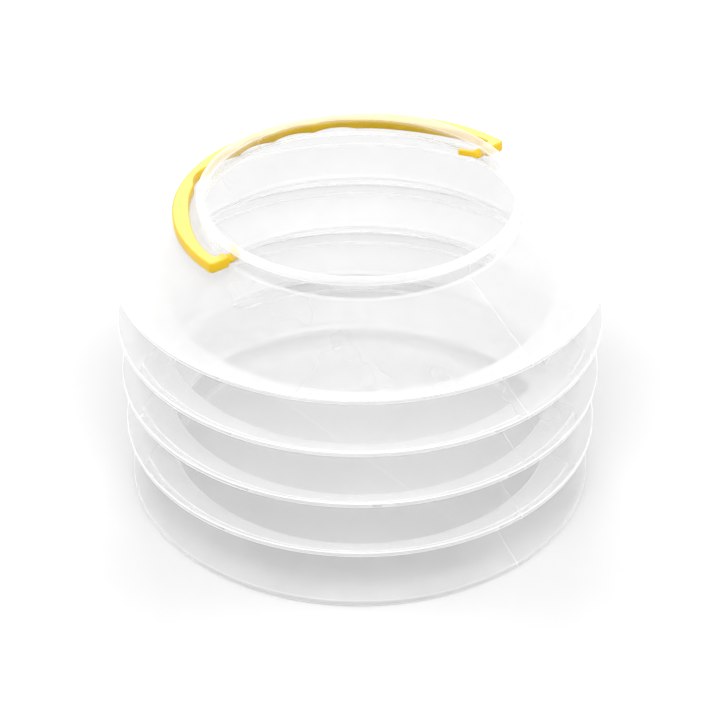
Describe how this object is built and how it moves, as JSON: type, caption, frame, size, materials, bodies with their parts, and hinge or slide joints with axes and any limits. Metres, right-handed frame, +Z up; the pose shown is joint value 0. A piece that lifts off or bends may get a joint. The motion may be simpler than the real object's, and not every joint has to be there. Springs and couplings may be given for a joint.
{
  "type": "collapsible bellows bucket",
  "caption": "Collapsible bellows bucket in thin milky translucent plastic, with a round open neck, a conical shoulder, stacked folds and a hinged yellow bail handle with finger grooves.",
  "frame": {"origin": "centre of the underside, on the surface that the bucket stands on", "axes": "+Z up along the bucket's axis of revolution; X along the line through the bail's two pivots; +Y towards the side on which the bail lies at rest"},
  "size_m": [0.26, 0.26, 0.1749],
  "materials": {
    "milky_plastic": "satin, milky and translucent, as blow-moulded low-density polyethylene",
    "yellow_plastic": "semi-gloss, injection-moulded"
  },
  "bodies": {
    "base": {"base_floor": "milky_plastic", "base_wall": "milky_plastic"},
    "tier_1": {"fold_web_1": "milky_plastic", "ring_1": "milky_plastic"},
    "tier_2": {"fold_web_2": "milky_plastic", "ring_2": "milky_plastic"},
    "tier_3": {"fold_web_3": "milky_plastic", "ring_3": "milky_plastic"},
    "neck": {"fold_web_4": "milky_plastic", "shoulder_cone": "milky_plastic", "neck_collar": "milky_plastic", "rim_bead": "milky_plastic"},
    "bail": {"bail_handle": "yellow_plastic"}
  },
  "joints": [
    {"name": "fold_1", "type": "slide", "parent": "base", "child": "tier_1", "axis": [0, 0, -1], "range_m": [0, 0.026], "deforming": ["fold_web_1"]},
    {"name": "fold_2", "type": "slide", "parent": "tier_1", "child": "tier_2", "axis": [0, 0, -1], "range_m": [0, 0.026], "deforming": ["fold_web_2"]},
    {"name": "fold_3", "type": "slide", "parent": "tier_2", "child": "tier_3", "axis": [0, 0, -1], "range_m": [0, 0.026], "deforming": ["fold_web_3"]},
    {"name": "fold_4", "type": "slide", "parent": "tier_3", "child": "neck", "axis": [0, 0, -1], "range_m": [0, 0.026], "deforming": ["fold_web_4"]},
    {"name": "bail_swing", "type": "hinge", "parent": "neck", "child": "bail", "pos_m": [0, 0, 0.1667], "axis": [1, 0, 0], "range_deg": [0, 186.8]}
  ]
}
